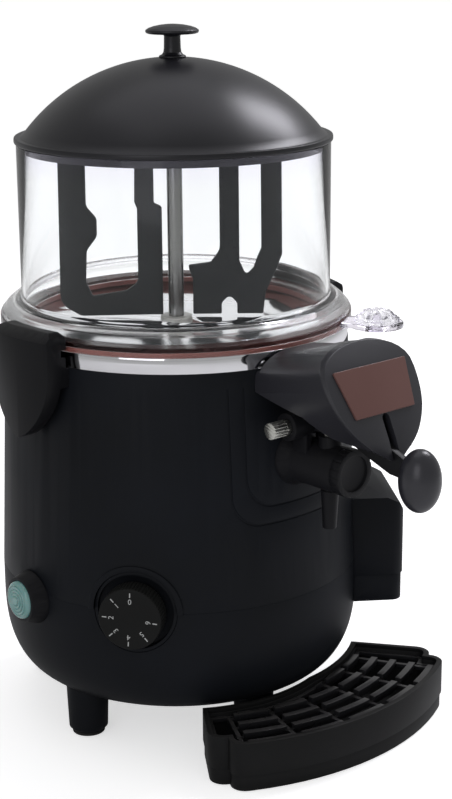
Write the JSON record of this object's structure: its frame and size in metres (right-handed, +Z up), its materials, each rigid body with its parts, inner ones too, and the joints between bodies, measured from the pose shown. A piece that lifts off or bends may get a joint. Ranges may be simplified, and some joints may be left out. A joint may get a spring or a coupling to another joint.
{
  "type": "hot chocolate dispenser machine",
  "caption": "Countertop hot chocolate dispenser: clear bowl with stirrer and domed lid on a heated round black housing, lever tap, dial, switch box and crescent drip tray.",
  "frame": {"origin": "on the floor plane under the stirrer's axis, which is also the axis of the round housing and bowl", "axes": "-Y is the front, where the tap and drip tray are; +X is to the right seen from the front; +Z is up"},
  "size_m": [0.3175, 0.4122, 0.5321],
  "materials": {
    "housing_black": "satin moulded",
    "gloss_black": "gloss moulded",
    "clear_bowl": "clear polycarbonate",
    "polished_steel": "mirror polished stainless steel",
    "steel_sheet": "plain sheet",
    "fastener": "machined",
    "rubber": "matte",
    "silicone": "matte food silicone",
    "label_brown": "satin plate",
    "lens_green": "translucent",
    "motor_grey": "painted",
    "gearbox_metal": "die cast",
    "natural_plastic": "moulded acetal"
  },
  "bodies": {
    "housing": {"lower_base": "housing_black", "legs": "housing_black", "foot_pads": "rubber", "bottom_plate": "steel_sheet", "base_screws": "fastener", "upper_housing": "housing_black", "heating_dish": "polished_steel", "water_bath": "steel_sheet", "heating_ring": "steel_sheet", "outlet_pipe": "steel_sheet", "bowl_gasket": "silicone", "shaft_seal": "rubber", "gearbox": "gearbox_metal", "motor": "motor_grey", "motor_plate": "steel_sheet", "motor_screws": "fastener", "tap_barrel": "housing_black", "barrel_cap": "housing_black", "nozzle": "housing_black", "tap_hood": "housing_black", "label_plate": "label_brown", "dial_bezel": "housing_black", "thermostat": "natural_plastic", "lamp_bezel": "gloss_black", "lamp_lens": "lens_green", "lamp_holder": "natural_plastic", "switch_box": "housing_black", "switch_box_base": "housing_black", "rocker_frame": "gloss_black", "left_grip": "housing_black", "right_grip": "housing_black", "mains_inlet": "gloss_black"},
    "bowl": {"bowl": "clear_bowl"},
    "filler_cap": {"filler_cap": "clear_bowl"},
    "lid": {"lid_shell": "gloss_black", "lid_knob": "gloss_black", "lid_screw": "fastener"},
    "stirrer": {"drive_shaft": "polished_steel", "stirrer": "housing_black", "shaft_coupling": "gearbox_metal", "output_shaft": "fastener"},
    "lever": {"lever": "gloss_black", "lever_knob": "gloss_black", "link_pin": "fastener"},
    "plunger": {"valve_plunger": "natural_plastic", "valve_seal": "silicone"},
    "pivot_pin": {"pivot_pin": "fastener"},
    "dial": {"dial_knob": "housing_black", "thermostat_shaft": "fastener"},
    "rocker": {"rocker_switch": "gloss_black"},
    "tray": {"tray_pan": "housing_black", "tray_frame": "housing_black"},
    "grate": {"tray_grate": "gloss_black"}
  },
  "joints": [
    {"name": "bowl_lift", "type": "slide", "parent": "housing", "child": "bowl", "axis": [0, 0, 1], "range_m": [0, 0.15]},
    {"name": "lid_lift", "type": "slide", "parent": "bowl", "child": "lid", "axis": [0, 0, 1], "range_m": [0, 0.15]},
    {"name": "filler_cap_pull", "type": "slide", "parent": "bowl", "child": "filler_cap", "axis": [0, 0, 1], "range_m": [0, 0.025]},
    {"name": "stirrer_turn", "type": "hinge", "parent": "housing", "child": "stirrer", "pos_m": [0, 0, 0.1], "axis": [0, 0, 1], "continuous": true},
    {"name": "lever_turn", "type": "hinge", "parent": "housing", "child": "lever", "pos_m": [0, -0.151, 0.26], "axis": [-1, 0, 0], "range_deg": [0, 13]},
    {"name": "plunger_lift", "type": "slide", "parent": "housing", "child": "plunger", "axis": [0, 0, 1], "range_m": [0, 0.004]},
    {"name": "pivot_pin_pull", "type": "slide", "parent": "housing", "child": "pivot_pin", "axis": [-1, 0, 0], "range_m": [0, 0.075]},
    {"name": "dial_turn", "type": "hinge", "parent": "housing", "child": "dial", "pos_m": [-0.12459, -0.09052, 0.1226], "axis": [-0.809, -0.5878, 0], "range_deg": [0, 270]},
    {"name": "rocker_press", "type": "hinge", "parent": "housing", "child": "rocker", "pos_m": [0.13996, -0.10169, 0.1225], "axis": [0.5878, 0.809, 0], "range_deg": [-16, 0]},
    {"name": "tray_pull", "type": "slide", "parent": "housing", "child": "tray", "axis": [0, -1, 0], "range_m": [0, 0.12]},
    {"name": "grate_lift", "type": "slide", "parent": "tray", "child": "grate", "axis": [0, 0, 1], "range_m": [0, 0.008]}
  ],
  "couplings": [
    {"joint": "plunger_lift", "follows": "lever_turn", "m_per_rad": 0.017}
  ]
}
